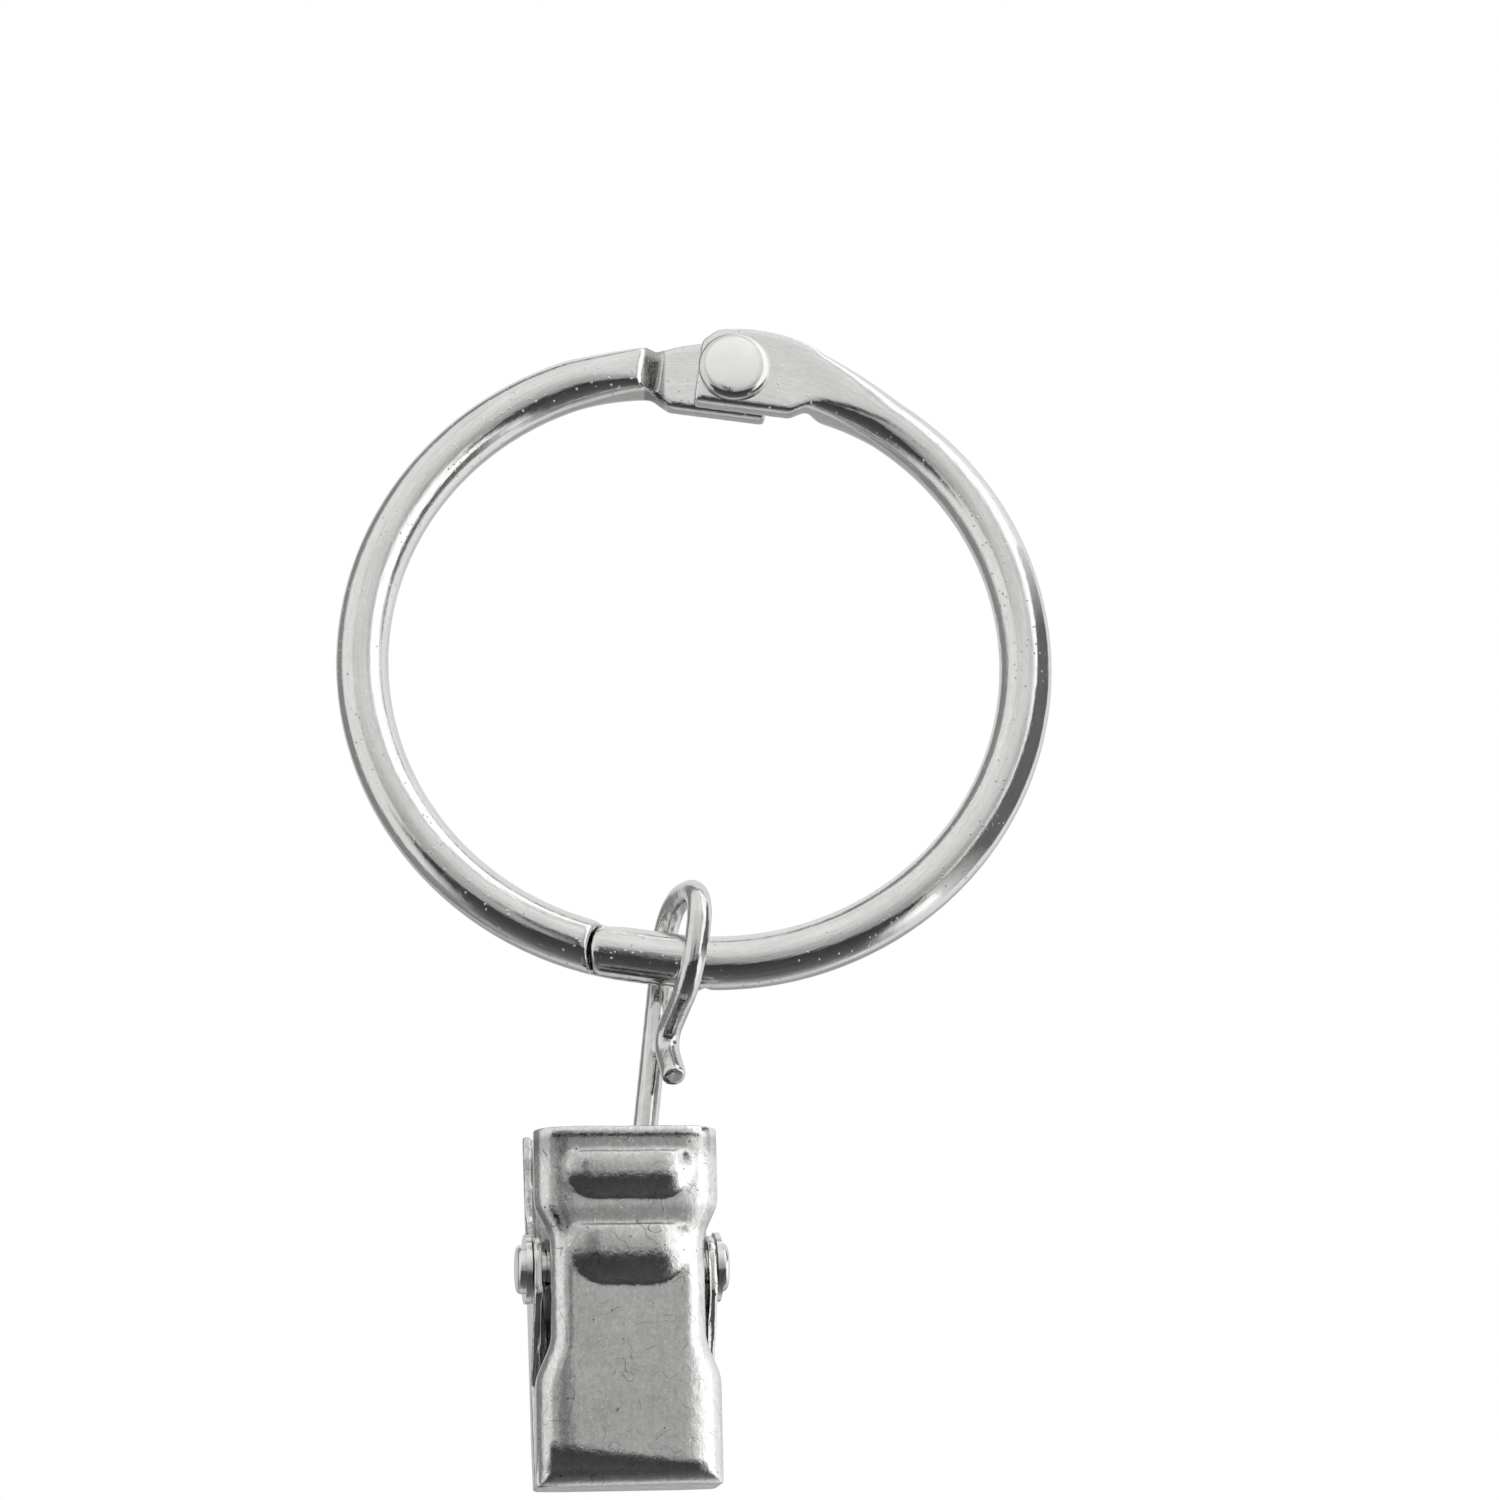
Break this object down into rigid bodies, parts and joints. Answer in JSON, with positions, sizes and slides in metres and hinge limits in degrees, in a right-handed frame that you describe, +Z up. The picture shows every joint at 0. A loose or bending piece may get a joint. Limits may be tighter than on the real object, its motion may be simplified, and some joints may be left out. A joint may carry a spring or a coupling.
{
  "type": "curtain ring with clip",
  "caption": "Hinged round-wire curtain ring that opens at a lap latch, carrying a wire hook and a sprung pressed-metal clip that grips the cloth.",
  "frame": {"origin": "centre of the ring's opening, on the rod's axis", "axes": "+Y along the rod, from the front of the clip to its back; +Z up, from the clip to the hinge"},
  "size_m": [0.042, 0.0098, 0.0684],
  "materials": {
    "ring_wire": "bright nickel plate",
    "rivet_steel": "bright nickel plate",
    "hook_wire": "bright nickel plate",
    "jaw_plate": "worn nickel plate",
    "pin_steel": "bright nickel plate",
    "spring_wire": "plain spring steel"
  },
  "bodies": {
    "ring_right": {"ring_half_right": "ring_wire", "hinge_rivet": "rivet_steel"},
    "ring_left": {"ring_half_left": "ring_wire"},
    "hanger": {"hook": "hook_wire"},
    "clip_rear": {"rear_jaw": "jaw_plate", "pivot_pin": "pin_steel", "torsion_spring": "spring_wire"},
    "clip_front": {"front_jaw": "jaw_plate"}
  },
  "joints": [
    {"name": "ring_hinge", "type": "hinge", "parent": "ring_right", "child": "ring_left", "pos_m": [0.00239, 0, 0.01794], "axis": [0, 1, 0], "range_deg": [0, 110]},
    {"name": "eye_swing", "type": "hinge", "parent": "ring_right", "child": "hanger", "pos_m": [-0.00095, 0, -0.01828], "axis": [0.9931, 0, -0.1172], "range_deg": [-100, 100]},
    {"name": "clip_tilt", "type": "hinge", "parent": "hanger", "child": "clip_rear", "pos_m": [-0.004, 0, -0.03575], "axis": [0.9908, 0.1304, 0.0349], "range_deg": [-9, 5]},
    {"name": "jaw_open", "type": "hinge", "parent": "clip_rear", "child": "clip_front", "pos_m": [-0.004, 0, -0.03575], "axis": [-0.9908, -0.1304, -0.0349], "range_deg": [0, 24], "stiffness_Nm_per_rad": 0.03, "springref_deg": -34.38, "deforming": ["torsion_spring"]}
  ]
}
